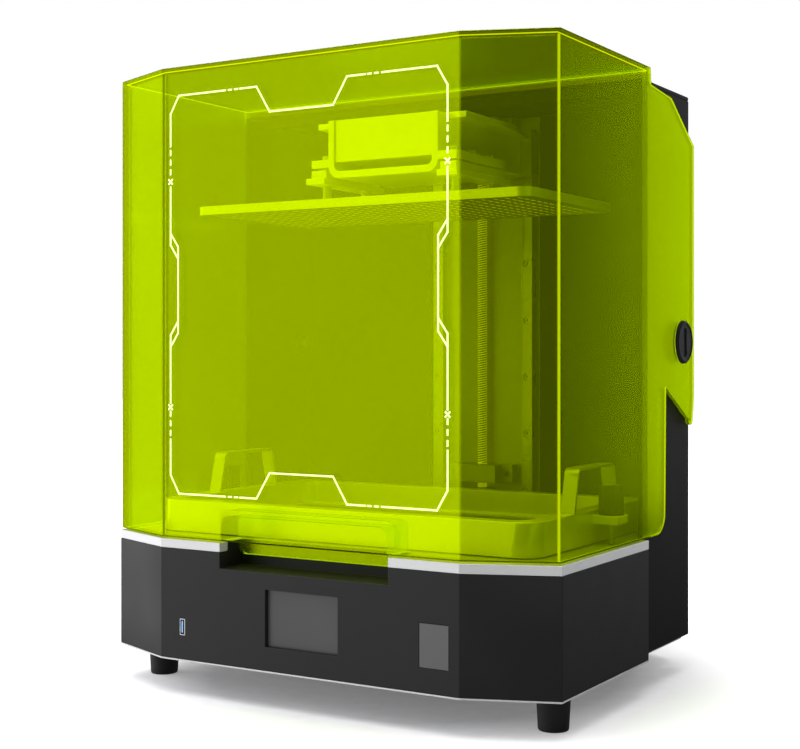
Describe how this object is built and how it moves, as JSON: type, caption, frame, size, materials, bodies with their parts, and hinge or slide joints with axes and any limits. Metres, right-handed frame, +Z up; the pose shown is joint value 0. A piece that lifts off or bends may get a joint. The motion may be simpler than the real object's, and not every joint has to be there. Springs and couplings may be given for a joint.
{
  "type": "resin printer",
  "caption": "Large resin printer with a chamfered base and tinted hinged lid, vat with clamps, and build platform on a ball-screw column.",
  "frame": {"origin": "on the floor under the middle of the printer, at the feet", "axes": "+Z up, front face towards -Y, +X to the right seen from the front"},
  "size_m": [0.478, 0.4, 0.5836],
  "materials": {
    "black_plastic": "satin black moulding",
    "black_metal": "black powder coat",
    "trim_silver": "satin silver paint",
    "aluminium": "anodised",
    "steel": "ground",
    "chrome": "polished",
    "rubber": "matt",
    "dark_plastic": "gloss black",
    "panel_dark": "dark glass",
    "glass": "clear",
    "film": "clear film",
    "circuit": "solder mask",
    "led_board": "white solder mask",
    "switch_red": "red moulding",
    "tinted_acrylic": "transparent yellow-green",
    "line_print": "printed line",
    "anodised": "grey anodised",
    "badge_grey": "smooth blank"
  },
  "bodies": {
    "printer": {"base_shell": "black_plastic", "bottom_plate": "trim_silver", "feet": "rubber", "foot_screws": "steel", "trim_band": "trim_silver", "deck_plate": "anodised", "panel_frame": "black_plastic", "masking_panel": "panel_dark", "panel_glass": "glass", "lens_plate": "glass", "light_array": "led_board", "heat_sink": "anodised", "screen_bezel": "black_plastic", "touchscreen": "panel_dark", "usb_port": "steel", "label_plate": "badge_grey", "mainboard": "circuit", "power_supply": "steel", "tower_shell": "black_metal", "tower_top": "black_metal", "rear_cover": "black_metal", "cover_screws": "steel", "fan_frame": "black_plastic", "fan_grille": "steel", "power_inlet": "black_plastic", "switch_housing": "black_plastic", "network_socket": "steel", "hinge_pins": "steel", "hinge_caps": "dark_plastic", "column": "anodised", "linear_rails": "chrome", "rail_screws": "steel", "lower_bearing": "anodised", "upper_bearing": "anodised", "stepper_motor": "black_metal"},
    "lid": {"lid_hood": "tinted_acrylic", "lid_line_pattern": "line_print", "hinge_bushes": "black_plastic"},
    "platform": {"rail_carriages": "steel", "ball_nut": "steel", "carriage_plate": "anodised", "support_arm": "aluminium", "bracket_frame": "aluminium", "levelling_plates": "aluminium", "platform_posts": "steel", "platform_bolts": "steel", "build_plate": "aluminium"},
    "screw": {"ball_screw": "chrome", "shaft_coupling": "anodised"},
    "vat": {"vat_body": "aluminium", "release_film": "film", "film_frame": "steel", "film_screws": "steel", "vat_handles": "steel"},
    "left_clamp": {"left_clamp_screw": "black_plastic"},
    "right_clamp": {"right_clamp_screw": "black_plastic"},
    "rocker": {"power_rocker": "switch_red"},
    "fan": {"fan_rotor": "black_plastic"}
  },
  "joints": [
    {"name": "lid_hinge", "type": "hinge", "parent": "printer", "child": "lid", "pos_m": [0, 0.115, 0.328], "axis": [-1, 0, 0], "range_deg": [0, 85]},
    {"name": "platform_slide", "type": "slide", "parent": "printer", "child": "platform", "axis": [0, 0, 1], "range_m": [-0.3, 0.005]},
    {"name": "screw_turn", "type": "hinge", "parent": "printer", "child": "screw", "pos_m": [0, 0.14, 0.332], "axis": [0, 0, 1], "continuous": true},
    {"name": "vat_lift", "type": "slide", "parent": "printer", "child": "vat", "axis": [0, 0, 1], "range_m": [0, 0.2]},
    {"name": "left_clamp_turn", "type": "hinge", "parent": "vat", "child": "left_clamp", "pos_m": [-0.218, -0.0215, 0.172], "axis": [0, 0, 1], "range_deg": [0, 1080]},
    {"name": "right_clamp_turn", "type": "hinge", "parent": "vat", "child": "right_clamp", "pos_m": [0.218, -0.0215, 0.172], "axis": [0, 0, 1], "range_deg": [0, 1080]},
    {"name": "power_switch", "type": "hinge", "parent": "printer", "child": "rocker", "pos_m": [-0.12, 0.1905, 0.142], "axis": [1, 0, 0], "range_deg": [0, 20]},
    {"name": "fan_spin", "type": "hinge", "parent": "printer", "child": "fan", "pos_m": [0.12, 0.185, 0.172], "axis": [0, 1, 0], "continuous": true}
  ],
  "couplings": [
    {"joint": "screw_turn", "follows": "platform_slide", "rad_per_m": 1256.6}
  ]
}
